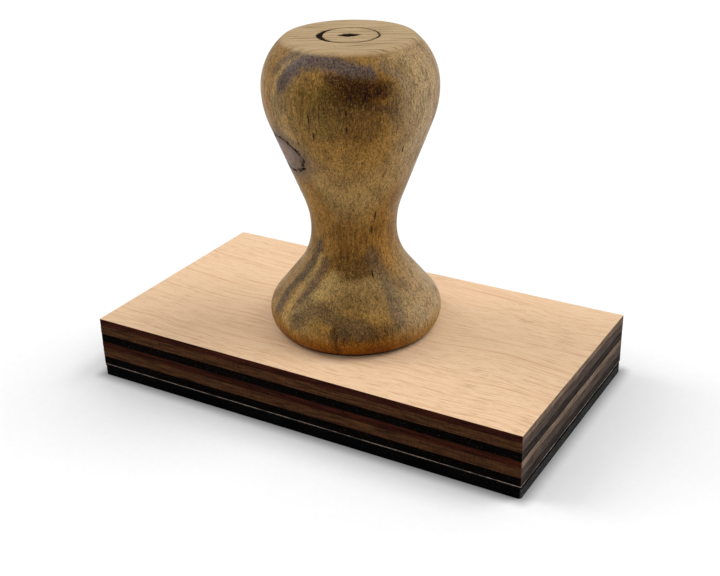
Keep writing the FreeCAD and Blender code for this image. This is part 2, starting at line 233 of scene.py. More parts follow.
    def finish(self, colour, roughness, bump=None, depth=0.1, coat=0.0, specular=0.5):
        """Feed the surface. depth is the height of the bump in millimetres."""
        self.feed(self.surface.inputs["Base Color"], colour)
        self.feed(self.surface.inputs["Roughness"], roughness)
        self.feed(self.surface.inputs["Specular IOR Level"], specular)
        self.feed(self.surface.inputs["Coat Weight"], coat)
        self.feed(self.surface.inputs["Coat Roughness"], 0.22)
        if bump is not None:
            node = self.add("ShaderNodeBump")
            self.feed(node.inputs["Height"], bump)
            self.feed(node.inputs["Distance"], depth * MM)
            self.feed(node.inputs["Strength"], 1.0)
            self.feed(self.surface.inputs["Normal"], node.outputs[0])
            self.feed(self.surface.inputs["Coat Normal"], node.outputs[0])
        return self.material


# ---------------------------------------------------------------- handle shape

FOOT_RADIUS, FOOT_HEIGHT, FOOT_ARC = 20.0, 4.5, 5.7
NECK_RADIUS, NECK_HEIGHT = 9.8, 24.5
NECK_LOWER_ARC, NECK_UPPER_ARC = 15.0, 21.0
HEAD_RADIUS, HEAD_HEIGHT, HEAD_ARC, CROWN_ARC = 19.5, 57.3, 20.6, 13.9
RIM_ROUND = 1.0
PLAIN_FOOT = 0.4                              # no marks on the side below this height
HANDLE_SEGMENTS = 384
RING_RADIUS, RING_WIDTH, RING_DEPTH = 6.5, 0.85, 0.7
PIT_LENGTH, PIT_WIDTH, PIT_DEPTH = 2.9, 1.7, 1.2    # half sizes along and across the crack
CRACK_TURN = math.radians(30.8)               # the fine crack across the flat top
FLAT_REACH = 12.1                             # the marks lie within this radius

KNOT_TURN = math.radians(-122)
KNOT_HEIGHT = 44.7
KNOT_RADIUS = 4.1                             # half its height
KNOT_WIDENING = 1.45                          # its width as a multiple of its height
KNOT_DIRECTION = (math.cos(KNOT_TURN), math.sin(KNOT_TURN), 0)
KNOT_ACROSS = (-math.sin(KNOT_TURN) / KNOT_WIDENING, math.cos(KNOT_TURN) / KNOT_WIDENING, 0)

# Short splits along the grain: turn in degrees, height and length in millimetres.
CHECKS = ((-86, 55.5, 2.6), (-84, 51.5, 1.8), (-62, 53.5, 1.8), (-62, 57.0, 1.1), (-33, 30.5, 3.4),
          (-36, 27.0, 2.6), (-40, 17.0, 2.4), (-98, 49.0, 1.4), (-20, 47.0, 2.0), (35, 52.0, 2.2),
          (100, 40.0, 3.0), (150, 55.0, 2.0), (185, 12.0, 2.4))


def arc_points(centre, radius, start, end, step=0.3):
    """Points on an arc in the plane of radius and height, angles in radians."""
    count = max(2, math.ceil(abs(end - start) * radius / step))
    angles = [start + (end - start) * index / count for index in range(count + 1)]
    return [Vector((centre.x + radius * math.cos(a), centre.y + radius * math.sin(a)))
            for a in angles]


def crossing_angle(centre_a, radius_a, centre_b, radius_b, side):
    """Direction of the radius at the line that touches two circles on opposite sides."""
    gap = centre_b - centre_a
    return math.atan2(gap.y, gap.x) + side * math.acos((radius_a + radius_b) / gap.length)


def handle_outline():
    """Radius and height of the turned outline from sole to flat top, as tangent arcs."""
    foot = Vector((FOOT_RADIUS - FOOT_ARC, FOOT_HEIGHT))
    lower = Vector((NECK_RADIUS + NECK_LOWER_ARC, NECK_HEIGHT))
    upper = Vector((NECK_RADIUS + NECK_UPPER_ARC, NECK_HEIGHT))
    head = Vector((HEAD_RADIUS - HEAD_ARC, HEAD_HEIGHT))
    crown = Vector((HEAD_RADIUS - CROWN_ARC, HEAD_HEIGHT))
    foot_turn = crossing_angle(foot, FOOT_ARC, lower, NECK_LOWER_ARC, -1)
    flank_turn = crossing_angle(upper, NECK_UPPER_ARC, head, HEAD_ARC, 1)
    rim_turn = math.asin((HANDLE_HEIGHT - RIM_ROUND - HEAD_HEIGHT) / (CROWN_ARC - RIM_ROUND))
    rim = crown + Vector((math.cos(rim_turn), math.sin(rim_turn))) * (CROWN_ARC - RIM_ROUND)
    parts = [
        arc_points(foot, FOOT_ARC, -math.asin(FOOT_HEIGHT / FOOT_ARC), foot_turn),
        arc_points(lower, NECK_LOWER_ARC, foot_turn + math.pi, math.pi),
        arc_points(upper, NECK_UPPER_ARC, math.pi, flank_turn),
        arc_points(head, HEAD_ARC, flank_turn - math.pi, 0),
        arc_points(crown, CROWN_ARC, 0, rim_turn),
        arc_points(rim, RIM_ROUND, rim_turn, math.pi / 2, 0.15),
    ]
    return evened([point for part in parts for point in part], 0.34)


def evened(points, step):
    """The same line with points a step apart."""
    lengths = [0.0]
    for before, after in zip(points, points[1:]):
        lengths.append(lengths[-1] + (after - before).length)
    count = round(lengths[-1] / step)
    result, segment = [], 0
    for index in range(count + 1):
        wanted = lengths[-1] * index / count
        while segment < len(points) - 2 and lengths[segment + 1] < wanted:
            segment += 1
        span = lengths[segment + 1] - lengths[segment]
        share = (wanted - lengths[segment]) / span if span else 0.0
        result.append(points[segment].lerp(points[segment + 1], share))
    return result


OUTLINE = handle_outline()


def flat_radii(rim):
    """Radii of the rings of vertices on the flat top, close together at the marks."""
    radii, radius = [], rim - 0.35
    while radius > 0.12:
        radii.append(radius)
        near_ring = abs(radius - RING_RADIUS) < 1.2
        near_pit = radius < PIT_LENGTH + 0.4
        radius -= 0.11 if near_ring else 0.16 if near_pit else 0.45
    return radii


def smooth(value, low, high):
    """Smooth step from 0 at low to 1 at high."""
    share = min(1.0, max(0.0, (value - low) / (high - low)))
    return share * share * (3 - 2 * share)


def groove(distance, half_width):
    """Depth share of a round-bottomed groove at a distance from its middle."""
    return 1.0 - smooth(abs(distance), half_width * 0.35, half_width)


def top_depth(x, y):
    """Depth of the marks on the flat top: the ring, the centre pit and the crack."""
    radius, turn = math.hypot(x, y), math.atan2(y, x)
    along = x * math.cos(CRACK_TURN) + y * math.sin(CRACK_TURN)
    across = -x * math.sin(CRACK_TURN) + y * math.cos(CRACK_TURN)
    wander = noise.noise(Vector((x, y, 3.0)) * 0.45)
    left = smooth(-along, 2.5, 6.0)
    width = RING_WIDTH * (0.42 + 0.5 * left + 0.16 * wander)
    ring_path = RING_RADIUS + 0.10 * wander - 0.12 * left
    depth = RING_DEPTH * (0.75 + 0.5 * left) * groove(radius - ring_path, width)
    thin = 1.0 - 0.55 * smooth(math.cos(turn - CRACK_TURN), 0.93, 0.99)
    ragged = 0.22 * noise.noise(Vector((x, y, 9.0)) * 1.3)
    pit_reach = abs(along) / PIT_LENGTH + (across / PIT_WIDTH) ** 2 + ragged
    pit = PIT_DEPTH * (1.0 - smooth(pit_reach, 0.35, 1.0))
    crack = 0.16 * groove(across - 0.25 * noise.noise(Vector((along * 0.3, 0, 5))), 0.16)
    return max(depth * thin, pit, crack)


def side_depth(place):
    """Depth of marks on the turned side: the open crack round the knot, and tool ripple."""
    offset = place - Vector((0, 0, KNOT_HEIGHT))
    if offset.dot(KNOT_DIRECTION) > 0:
        reach = math.hypot(offset.z, offset.dot(KNOT_ACROSS))
        wander = noise.noise(place * 0.55) * 0.7
        open_share = smooth(noise.noise(place * 0.8 + Vector((7, 3, 1))), -0.35, 0.05)
        wander += 0.35 * noise.noise(place * 2.1)
        crack = groove(reach - KNOT_RADIUS - wander, 0.34) * 0.55 * open_share
        dome = 0.10 * (1.0 - smooth(reach, KNOT_RADIUS * 0.3, KNOT_RADIUS))
    else:
        crack = dome = 0.0
    ripple = 0.018 * noise.noise(Vector((0, 0, place.z * 0.8)))
    ripple += 0.05 * noise.noise(place * 0.07)
    return max(0.0, crack - dome * 0.5) + max(0.0, ripple)


def join_rings(mesh, rings):
    """A band of faces between each two neighbouring rings of vertices."""
    for lower, upper in zip(rings, rings[1:]):
        for index in range(len(lower)):
            following = (index + 1) % len(lower)
            mesh.faces.new((lower[index], lower[following], upper[following], upper[index]))


def make_handle():
    """One closed mesh: sole, turned side and flat top with its marks."""
    mesh = bmesh.new()
    rings = []

    def add_ring(radius, height, depth_at=None):
        """A ring of vertices, moved in from the true form by depth_at(place, outwards)."""
        ring = []
        for index in range(HANDLE_SEGMENTS):
            turn = 2 * math.pi * index / HANDLE_SEGMENTS
            out = Vector((math.cos(turn), math.sin(turn), 0))
            place = Vector((radius * math.cos(turn), radius * math.sin(turn), height))
            if depth_at:
                place = place - depth_at(place, out)
            ring.append(mesh.verts.new((place + HANDLE_FOOT) * MM))
        rings.append(ring)

    def side_marks(place, out):
        return out * side_depth(place)

    def top_marks(place, out):
        return Vector((0, 0, top_depth(place.x, place.y)))

    for radius in (0.5, 6.0, 12.0, OUTLINE[0].x - 0.5):
        add_ring(radius, 0.0)
    for point in OUTLINE:
        marks = side_marks if point.y > PLAIN_FOOT else None
        add_ring(point.x, min(point.y, HANDLE_HEIGHT), marks)
    for radius in flat_radii(OUTLINE[-1].x):
        add_ring(radius, HANDLE_HEIGHT, top_marks)

    join_rings(mesh, rings)
    top_middle = HANDLE_HEIGHT - top_depth(0.0, 0.0)
    for ring, height, turned_over in ((rings[0], 0.0, True), (rings[-1], top_middle, False)):
        middle = mesh.verts.new((Vector((0, 0, height)) + HANDLE_FOOT) * MM)
        for index in range(HANDLE_SEGMENTS):
            pair = (ring[index], ring[(index + 1) % HANDLE_SEGMENTS])
            mesh.faces.new((middle, *(reversed(pair) if turned_over else pair)))
    handle = from_bmesh("turned_handle", mesh, 40)
    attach(handle, "root")
    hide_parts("handle")
    handle.data.materials.append(handle_wood())
    return handle


def from_bmesh(name, mesh, sharp_degrees):
    """An object from a finished bmesh, smooth but for edges sharper than an angle."""
    bmesh.ops.recalc_face_normals(mesh, faces=mesh.faces)
    data = bpy.data.meshes.new(name)
    mesh.to_mesh(data)
    mesh.free()
    for polygon in data.polygons:
        polygon.use_smooth = True
    data.set_sharp_from_angle(angle=math.radians(sharp_degrees))
    piece = bpy.data.objects.new(name, data)
    bpy.context.scene.collection.objects.link(piece)
    return piece


# ---------------------------------------------------------------- handle wood

# Stains that the lacquer brings out: turn, height, sizes (out, across, up), share and tint.
STAINS = (
    (-78, 59.0, (9, 13, 5.6), 0.62, (84, 66, 20)),
    (-58, 58.0, (9, 12, 4.6), 0.45, (84, 52, 14)),
    (-51, 61.3, (9, 8.0, 3.8), 1.00, (42, 15, 2)),
    (-29, 57.2, (9, 4.2, 5.6), 0.75, (78, 52, 20)),
    (-84, 53.5, (9, 10, 4.5), 0.40, (104, 88, 44)),
    (-62, 19.0, (8, 8, 5.5), 0.90, (78, 50, 14)),
    (-64, 25.5, (8, 6, 6.5), 0.60, (96, 62, 16)),
    (-58, 12.5, (8, 8, 4.0), 0.45, (104, 82, 46)),
    (-62, 5.6, (8, 9, 2.6), 0.60, (84, 50, 12)),
    (-40, 6.4, (8, 6, 2.4), 0.70, (86, 60, 28)),
    (120, 60.0, (9, 12, 5.0), 0.60, (80, 54, 20)),
    (74, 52.0, (9, 11, 8.0), 0.40, (96, 76, 40)),
    (170, 10.0, (9, 12, 4.0), 0.60, (88, 66, 40)),
)

# Dark and golden lines of the wood's figure: width, share, tint and places (turn, height).
GREY_BROWN, GOLDEN = (84, 70, 62), (178, 150, 98)
FIGURE = (
    (2.9, 0.94, (86, 74, 80), ((-108, 61.5), (-104, 64.2), (-96, 66.2), (-84, 66.7), (-70, 66.2),
                               (-57, 65.2), (-47, 64.4))),
    (1.6, 0.55, (86, 66, 58), ((-106, 56.0), (-109, 59.0), (-108, 61.5))),
    (1.6, 0.75, (92, 74, 60), ((-103, 67.8), (-112, 66.0), (-120, 63.0))),
    (2.2, 0.80, (54, 28, 10), ((-72, 63.6), (-62, 63.0), (-53, 62.2), (-44, 61.2), (-34, 61.2))),
    (1.2, 0.60, (58, 34, 14), ((-60, 59.0), (-46, 58.0), (-32, 56.6))),
    (1.0, 0.35, GOLDEN, ((-108, 65.6), (-114, 62.5), (-116, 58.0))),
    (1.5, 0.60, (124, 104, 88), ((-36, 65.5), (-26, 63.5), (-20, 60.0))),
    (2.2, 0.85, GREY_BROWN, ((-110, 22.5), (-122, 15.5), (-128, 11.0), (-126, 7.0))),
    (1.5, 0.62, GOLDEN, ((-103, 20.0), (-112, 14.5), (-116, 10.0), (-115, 6.5))),
    (1.9, 0.70, GREY_BROWN, ((-96, 19.0), (-103, 13.5), (-108, 9.5))),
    (2.2, 0.58, GOLDEN, ((-84, 16.5), (-91, 13.5), (-99, 10.5), (-107, 8.0))),
    (3.4, 0.80, (88, 68, 46), ((-104, 7.4), (-96, 9.6), (-86, 10.2), (-76, 9.2), (-66, 7.8),
                               (-55, 7.2))),
    (2.8, 0.66, GREY_BROWN, ((-36, 21.0), (-27, 15.5), (-27, 11.5), (-29, 8.0))),
    (1.2, 0.55, (118, 98, 80), ((-10, 14.5), (-5, 10.5), (-8, 6.5))),
    (1.3, 0.70, (70, 40, 12), ((-74, 7.0), (-71, 2.0))),
    (2.0, 0.75, GREY_BROWN, ((70, 20.0), (82, 13.0), (88, 7.0))),
    (2.0, 0.75, GREY_BROWN, ((150, 22.0), (140, 14.0), (138, 7.0))),
    (2.2, 0.60, (100, 84, 80), ((34, 58.0), (56, 62.5), (88, 66.0), (112, 67.2))),
    (1.6, 0.70, GREY_BROWN, ((200, 60.0), (196, 50.0), (190, 40.0), (192, 32.0))),
)


def radius_at(height):
    """Radius of the turned outline at a height."""
    return min(OUTLINE, key=lambda point: abs(point.y - height)).x


def on_handle(degrees, height):
    """A place on the turned side by its turn and height above the sole."""
    turn, radius = math.radians(degrees), radius_at(height)
    return (radius * math.cos(turn), radius * math.sin(turn), height)


def layer_colours(graph):
    """Colours of the growth layers, from the far side of the handle to the near one."""
    sway = graph.math("MULTIPLY_ADD", graph.noise(11, stretch=(1, 1, 1.7), seed=1, detail=2),
                      5.4, -2.7)
    ragged = graph.math("MULTIPLY_ADD", graph.noise(0.8, stretch=(1, 1, 4), seed=4, detail=2),
                        1.5, -0.75)
    local = graph.vector("SUBTRACT", graph.place, (0, 0, HANDLE_HEIGHT / 2))
    layer = graph.vector("DOT_PRODUCT", local, LAYER_NORMAL)
    layer = graph.math("ADD", graph.math("ADD", layer, sway), ragged)
    return graph.ramp(layer, -21, 21, (
        (-21.0, linear(112, 80, 38)), (-16.0, linear(150, 122, 80)), (-13.2, linear(108, 88, 66)),
        (-11.5, linear(158, 130, 88)), (-6.0, linear(150, 116, 70)), (0.0, linear(152, 120, 76)),
        (5.0, linear(146, 114, 66)), (8.0, linear(152, 114, 64)), (9.8, linear(142, 104, 54)),
        (11.6, linear(158, 132, 90)), (13.6, linear(158, 126, 78)), (14.9, linear(140, 109, 70)),
        (15.9, linear(146, 112, 60)), (17.2, linear(146, 108, 56)), (18.6, linear(132, 96, 44)),
        (19.8, linear(104, 70, 24))))


def knot_distance(graph):
    """Distance from the middle of the knot, and a mask for its side of the handle."""
    offset = graph.vector("SUBTRACT", graph.place, (0, 0, KNOT_HEIGHT))
    along = graph.vector("DOT_PRODUCT", offset, KNOT_DIRECTION)
    across = graph.vector("DOT_PRODUCT", offset, KNOT_ACROSS)
    up = graph.vector("DOT_PRODUCT", offset, (0, 0, 1))
    distance = graph.vector("LENGTH", graph.combine(across, up, 0.0))
    wander = graph.math("MULTIPLY_ADD", graph.noise(2.6, seed=5, detail=2), 1.6, -0.8)
    return graph.math("ADD", distance, wander), graph.step(along, 2.0, 6.0)


def paint_knot(graph, colour):
    """The knot with its rings, halo and broken crack. Gives the colour and the crack's mask."""
    distance, near = knot_distance(graph)
    halo = graph.math("MULTIPLY", graph.step(distance, KNOT_RADIUS + 3.4, KNOT_RADIUS), near)
    colour = graph.mix(graph.math("MULTIPLY", halo, 0.75), colour, linear(92, 74, 62))
    inside = graph.math("MULTIPLY", graph.step(distance, KNOT_RADIUS, KNOT_RADIUS - 0.5), near)
    rings = graph.math("SINE", graph.math("MULTIPLY", distance, 5.2))
    heart = graph.ramp(distance, 0, KNOT_RADIUS, (
        (0.0, linear(120, 86, 70)), (1.2, linear(132, 102, 84)), (2.4, linear(120, 102, 88)),
        (4.3, linear(84, 71, 62))))
    heart = graph.shade(heart, graph.step(rings, 0.2, 1.0), 0.22)
    colour = graph.mix(inside, colour, heart)
    line = graph.step(graph.math("ABSOLUTE", graph.math("SUBTRACT", distance, KNOT_RADIUS)),
                      0.26, 0.08)
    broken = graph.step(graph.noise(1.3, seed=8, detail=1), 0.36, 0.46)
    crack = graph.math("MULTIPLY", graph.math("MULTIPLY", line, broken), near)
    return graph.mix(graph.math("MULTIPLY", crack, 0.9), colour, linear(20, 13, 8)), crack


def paint_checks(graph):
    """Mask of the short splits along the grain."""
    mask = 0.0
    for degrees, height, length in CHECKS:
        split = graph.blob(on_handle(degrees, height), (2.2, 0.24, length * 0.62),
                           math.radians(degrees))
        mask = graph.math("MAXIMUM", mask, split)
    return mask


def paint_top(graph, colour):
    """End grain of the flat top: pale, with lines that follow the layers, and painted shade in its
    sunk marks.
    """
    flat = graph.step(graph.z, HANDLE_HEIGHT - 1.1, HANDLE_HEIGHT - 0.25)
    turned = graph.add("ShaderNodeVectorRotate")
    turned.rotation_type = "Z_AXIS"
    graph.feed(turned.inputs["Vector"], graph.place)
    graph.feed(turned.inputs["Angle"], -CRACK_TURN)
    streaks = graph.noise(0.75, stretch=(16, 1, 30), seed=2, detail=4, place=turned.outputs[0])
    pores = graph.noise(0.22, seed=3, detail=2)
    pale = graph.ramp(streaks, 0.25, 0.75, (
        (0.25, linear(98, 74, 46)), (0.42, linear(160, 133, 94)), (0.58, linear(194, 168, 128)),
        (0.75, linear(150, 124, 86))))
    pale = graph.shade(pale, graph.step(pores, 0.52, 0.66), 0.22)
    flat_share = graph.math("MULTIPLY", flat, 0.88)
    colour = graph.mix(flat_share, colour, pale)
    # painted shade in the sunk marks: dark below the flat, but not out on the rim or down the side
    sunk = graph.step(graph.z, HANDLE_HEIGHT - 0.06, HANDLE_HEIGHT - 0.24)
    reach = graph.vector("LENGTH", graph.vector("MULTIPLY", graph.place, (1, 1, 0)))
    within = graph.step(reach, FLAT_REACH + 0.3, FLAT_REACH)
    near_top = graph.step(graph.z, HANDLE_HEIGHT - 3.0, HANDLE_HEIGHT - 2.5)
    painted_mark_shade = graph.math("MULTIPLY", graph.math("MULTIPLY", sunk, within), near_top)
    return graph.mix(painted_mark_shade, colour, linear(30, 16, 8))


def paint_stains(graph, colour):
    """Stains, warm neck and foot, figure lines and pale side. Gives the neck and foot too."""
    for degrees, height, sizes, share, tint in STAINS:
        mask = graph.blob(on_handle(degrees, height), sizes, math.radians(degrees))
        edge = graph.noise(1.7, stretch=(1, 1, 2.2), seed=6, detail=3)
        mask = graph.math("MULTIPLY", mask, graph.step(edge, 0.25, 0.6, 0.45, 1.2), clamp=True)
        colour = graph.mix(graph.math("MULTIPLY", mask, share), colour, linear(*tint))
    neck = graph.blob((0, 0, 25), (16, 16, 15))
    colour = graph.mix(graph.math("MULTIPLY", neck, 0.62), colour, linear(138, 98, 36))
    foot = graph.step(graph.z, 6.5, 1.2)
    colour = graph.mix(graph.math("MULTIPLY", foot, 0.72), colour, linear(136, 82, 6))

    for number, (width, share, tint, places) in enumerate(FIGURE):
        mask = graph.stroke([on_handle(*place) for place in places], width, seed=20 + number)
        colour = graph.mix(graph.math("MULTIPLY", mask, share), colour, linear(*tint))

    # paler on the side towards +X +Y
    towards = (math.cos(CRACK_TURN), math.sin(CRACK_TURN), 0)
    pale = graph.step(graph.vector("DOT_PRODUCT", graph.place, towards), 6.0, 16.5)
    colour = graph.mix(graph.math("MULTIPLY", pale, 0.68), colour, linear(180, 158, 132))
    return colour, neck, foot


def paint_fibres(graph, colour):
    """Strands, fibres and flecks along the grain. Gives fibres and mottle too, for the gloss."""
    fibres = graph.noise(0.30, stretch=(1, 1, 7), seed=7, detail=4, roughness=0.65)
    flecks = graph.noise(0.26, stretch=(1, 1, 6), seed=9, detail=2, roughness=0.7)
    mottle = graph.noise(4.0, stretch=(1, 1, 2), seed=10, detail=4, roughness=0.65)
    speckle = graph.noise(0.30, stretch=(1, 1, 1.5), seed=17, detail=3, roughness=0.75)
    strands = graph.noise(0.85, stretch=(1, 1, 8), seed=18, detail=3, roughness=0.6)
    colour = graph.shade(colour, graph.step(strands, 0.46, 0.68), 0.34)
    colour = graph.shade(colour, graph.step(fibres, 0.46, 0.66), 0.52)
    colour = graph.shade(colour, graph.step(speckle, 0.50, 0.61), 0.50)
    colour = graph.mix(graph.step(speckle, 0.45, 0.33, 0.0, 0.22), colour, linear(196, 164, 100))
    colour = graph.mix(graph.step(flecks, 0.46, 0.30, 0.0, 0.22), colour, linear(190, 160, 100))
    colour = graph.shade(colour, graph.step(mottle, 0.42, 0.72), 0.30)
    return colour, fibres, mottle


def paint_lacquer(graph, colour, neck, foot):
    """The lacquer's own tone and deep colour where the wood drank it; lighter and bluer on the
    flank.
    """
    colour = graph.mix(1.0, colour, (1.17, 1.12, 0.94, 1.0), "MULTIPLY")
    flank = graph.blob(on_handle(-46, 45.5), (11, 15, 9.5), math.radians(-46))
    flank = graph.math("MULTIPLY", flank, 0.85)
    colour = graph.mix(flank, colour, (1.14, 1.17, 1.24, 1.0), "MULTIPLY")
    deep = graph.math("MULTIPLY", neck, 0.6)
    deep = graph.math("MAXIMUM", deep, graph.math("MULTIPLY", foot, 0.9))
    smudge = graph.blob(on_handle(-51, 61.3), (9, 9, 4.5), math.radians(-51))
    deep = graph.math("MAXIMUM", deep, smudge)
    return graph.mix(deep, colour, (0.88, 0.66, 0.15, 1.0), "MULTIPLY")


def handle_wood():
    """Stained hardwood under semi-gloss lacquer."""
    graph = Graph("handle_wood", HANDLE_FOOT)
    colour = layer_colours(graph)
    colour, neck, foot = paint_stains(graph, colour)
    colour, fibres, mottle = paint_fibres(graph, colour)
    colour = paint_lacquer(graph, colour, neck, foot)
    colour = paint_top(graph, colour)
    colour, crack = paint_knot(graph, colour)
    checks = paint_checks(graph)
    colour = graph.mix(checks, colour, linear(20, 12, 6))
    # painted shadow at the foot: near black in the lowest millimetre, where the handle stands on
    # the block
    painted_foot_shadow = graph.step(graph.z, 1.1, 0.35)
    colour = graph.mix(graph.math("MULTIPLY", painted_foot_shadow, 0.95), colour, linear(16, 8, 3))

    dents = graph.math("MAXIMUM", crack, checks)
    height = graph.math("SUBTRACT", graph.math("MULTIPLY", fibres, 0.18), dents)
    roughness = graph.step(mottle, 0.3, 0.7, 0.36, 0.52)
    return graph.finish(colour, roughness, height, depth=0.22, coat=0.03, specular=0.07)


# ---------------------------------------------------------------- block

LAYER_CORNER = 0.18                           # radius of the layers' upright corners
LAYER_BEVEL = 0.10                            # bevel of their level edges
EDGE_STEP = 0.55                              # distance between vertices along an edge
BORE_RADIUS, SEAT_RADIUS = 2.3, 4.0           # the screw's hole and its countersink
BORE_SEGMENTS = 48


def rectangle_ring(half_x, half_y, corner, step):
    """Places and outward directions round a rectangle with rounded corners."""
    ring = []
    inner_x, inner_y = half_x - corner, half_y - corner
    quarters = ((inner_x, inner_y, 0), (-inner_x, inner_y, 90), (-inner_x, -inner_y, 180),
                (inner_x, -inner_y, 270))
    corner_steps = 4
    for index, (x, y, start) in enumerate(quarters):
        for part in range(corner_steps + 1):
            turn = math.radians(start + 90 * part / corner_steps)
            out = Vector((math.cos(turn), math.sin(turn), 0))
            ring.append((Vector((x, y, 0)) + out * corner, out))
        next_x, next_y, next_start = quarters[(index + 1) % 4]
        out = Vector((math.cos(math.radians(next_start)), math.sin(math.radians(next_start)), 0))
        begin, end = Vector((x, y, 0)) + out * corner, Vector((next_x, next_y, 0)) + out * corner
        count = round((end - begin).length / step)
        ring += [(begin.lerp(end, part / count), out) for part in range(1, count)]
    return ring


def make_layer(name, node, material, wobble, seed, inset=0.0, rows=4, hole=()):
    """A flat layer of the block with a worn, uneven edge. hole is (height share, radius) pairs."""
    low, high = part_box(node)
    bottom, thick = low.z / MM, (high.z - low.z) / MM
    bevel = min(LAYER_BEVEL, thick * 0.3)
    heights = [0.0] + [bevel + (thick - 2 * bevel) * row / rows for row in range(rows + 1)]
    heights.append(thick)
    ring = rectangle_ring(high.x / MM, high.y / MM, LAYER_CORNER, EDGE_STEP)
    mesh = bmesh.new()

    def edge_ring(height):
        at_arris = height in (0.0, thick)
        verts = []
        for place, out in ring:
            probe = Vector((place.x * 0.5, place.y * 0.5, seed * 9.0 + height * 0.6))
            slow = noise.noise(probe * 0.25)
            quick = noise.noise(probe * 2.2)
            back = inset + wobble * (0.5 + 0.6 * slow + 0.35 * quick)
            back = max(0.0, back) + (bevel * 0.8 if at_arris else 0.0)
            spot = place - out * back + Vector((0, 0, bottom + height))
            verts.append(mesh.verts.new(spot * MM))
        return verts

    outer = [edge_ring(height) for height in heights]
    join_rings(mesh, outer)
    inner = []
    for share, radius in hole:
        turns = (2 * math.pi * index / BORE_SEGMENTS for index in range(BORE_SEGMENTS))
        inner.append([mesh.verts.new(Vector((HANDLE_FOOT.x + radius * math.cos(turn),
                                             HANDLE_FOOT.y + radius * math.sin(turn),
                                             bottom + thick * share)) * MM) for turn in turns])
    join_rings(mesh, inner)
    for end in (0, -1):
        loops = [outer[end]] + ([inner[end]] if inner else [])
        edges = [mesh.edges.get((loop[index], loop[(index + 1) % len(loop)]))
                 for loop in loops for index in range(len(loop))]
        bmesh.ops.triangle_fill(mesh, use_beauty=True, edges=edges)
    layer = from_bmesh(name, mesh, 50)
    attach(layer, "root")
    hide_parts(node)
    layer.data.materials.append(material)
    return layer


def short_sides(graph):
    """Mask of the block's short sides, which get painted light."""
    return graph.step(graph.math("ABSOLUTE", graph.facing_x), 0.55, 0.8)


def edge_colour(graph, long_side, short_side, seed):
    """Laser-cut edge: one pair of tones for the long sides and a lighter pair for the short sides,
    which is painted light.
    """
    streaks = graph.noise(0.55, stretch=(12, 12, 0.8), seed=seed, detail=4, roughness=0.65)
    scorch = graph.noise(0.30, stretch=(1, 1, 7), seed=seed + 1, detail=2)
    speck = graph.noise(0.24, seed=seed + 2, detail=2)

    def tone(pair):
        dark, light = pair
        return graph.mix(graph.step(streaks, 0.32, 0.68), linear(*dark), linear(*light))

    # painted light: the short sides take the lighter pair of tones
    lit_side_share = short_sides(graph)
    colour = graph.mix(lit_side_share, tone(long_side), tone(short_side))
    colour = graph.shade(colour, graph.step(scorch, 0.5, 0.72), 0.45)
    colour = graph.mix(graph.step(speck, 0.66, 0.74, 0.0, 0.35), colour, linear(120, 96, 72))
    height = graph.math("ADD", graph.math("MULTIPLY", streaks, 0.6),
                        graph.math("MULTIPLY", scorch, 0.4))
    return colour, height


def core_veneer():
    """Brown edge of a middle ply, lighter and greyer on the short sides with painted light."""
    graph = Graph("core_veneer")
    colour, height = edge_colour(graph, ((42, 22, 11), (84, 54, 32)),
                                 ((58, 49, 44), (92, 78, 70)), 11)
    return graph.finish(colour, 0.85, height, depth=0.10, specular=0.04)


def back_veneer():
    """Charred edge of a lower ply: near black on the long sides, lighter on the short sides with
    painted light.
    """
    graph = Graph("back_veneer")
    colour, height = edge_colour(graph, ((1, 1, 1), (8, 5, 4)), ((34, 29, 27), (62, 55, 51)), 21)
    return graph.finish(colour, 0.90, height, depth=0.10, specular=0.02)


def face_veneer(name, top_shows):
    """Pale veneer with short dark pores along X. Its edges are scorched reddish brown, and pale on
    the short sides with painted light.
    """
    graph = Graph(name)
    edge, edge_height = edge_colour(graph, ((30, 8, 4), (62, 26, 14)),
                                    ((92, 75, 62), (134, 114, 98)), 31)
    if not top_shows:
        return graph.finish(edge, 0.85, edge_height, depth=0.10, specular=0.04)
    lean = graph.math("MULTIPLY", graph.noise(34, seed=12, detail=1), 9.0)
    sheared = graph.vector("ADD", graph.place, graph.combine(0.0, lean, 0.0))
    streaks = graph.noise(0.9, stretch=(36, 1, 1), seed=13, detail=5, roughness=0.62, place=sheared)
    pores = graph.noise(0.24, stretch=(24, 1, 1), seed=14, detail=3, roughness=0.6, place=sheared)
    patches = graph.noise(17, stretch=(1.6, 1, 1), seed=15, detail=2)
    fuzz = graph.noise(0.5, stretch=(2.5, 1, 1), seed=16, detail=2)
    colour = graph.ramp(streaks, 0.3, 0.72, (
        (0.30, linear(206, 165, 125)), (0.43, linear(224, 188, 151)), (0.56, linear(232, 200, 164)),
        (0.72, linear(214, 175, 137))))
    strength = graph.step(patches, 0.34, 0.60, 0.35, 1.0)
    pore_mask = graph.math("MULTIPLY", graph.step(pores, 0.54, 0.66), strength)
    colour = graph.mix(graph.math("MULTIPLY", pore_mask, 0.60), colour, linear(172, 122, 86))
    colour = graph.shade(colour, graph.step(fuzz, 0.5, 0.75), 0.07)
    up = graph.step(graph.facing_z, 0.45, 0.8)
    colour = graph.mix(up, edge, colour)
    height = graph.mix(up, graph.grey(edge_height), graph.grey(
        graph.math("SUBTRACT", 0.5, graph.math("MULTIPLY", pore_mask, 0.4))))
    return graph.finish(colour, graph.step(up, 0.0, 1.0, 0.85, 0.62), height, depth=0.06,
                        specular=graph.step(up, 0.0, 1.0, 0.04, 0.16))


def glue_line():
    """Dried glue between the two panels."""
    graph = Graph("wood_glue")
    grain = graph.noise(1.2, stretch=(3, 3, 1), seed=41, detail=3)
    colour = graph.mix(graph.step(grain, 0.35, 0.65), linear(10, 5, 3), linear(42, 24, 14))
    return graph.finish(colour, 0.7, grain, depth=0.05, specular=0.04)


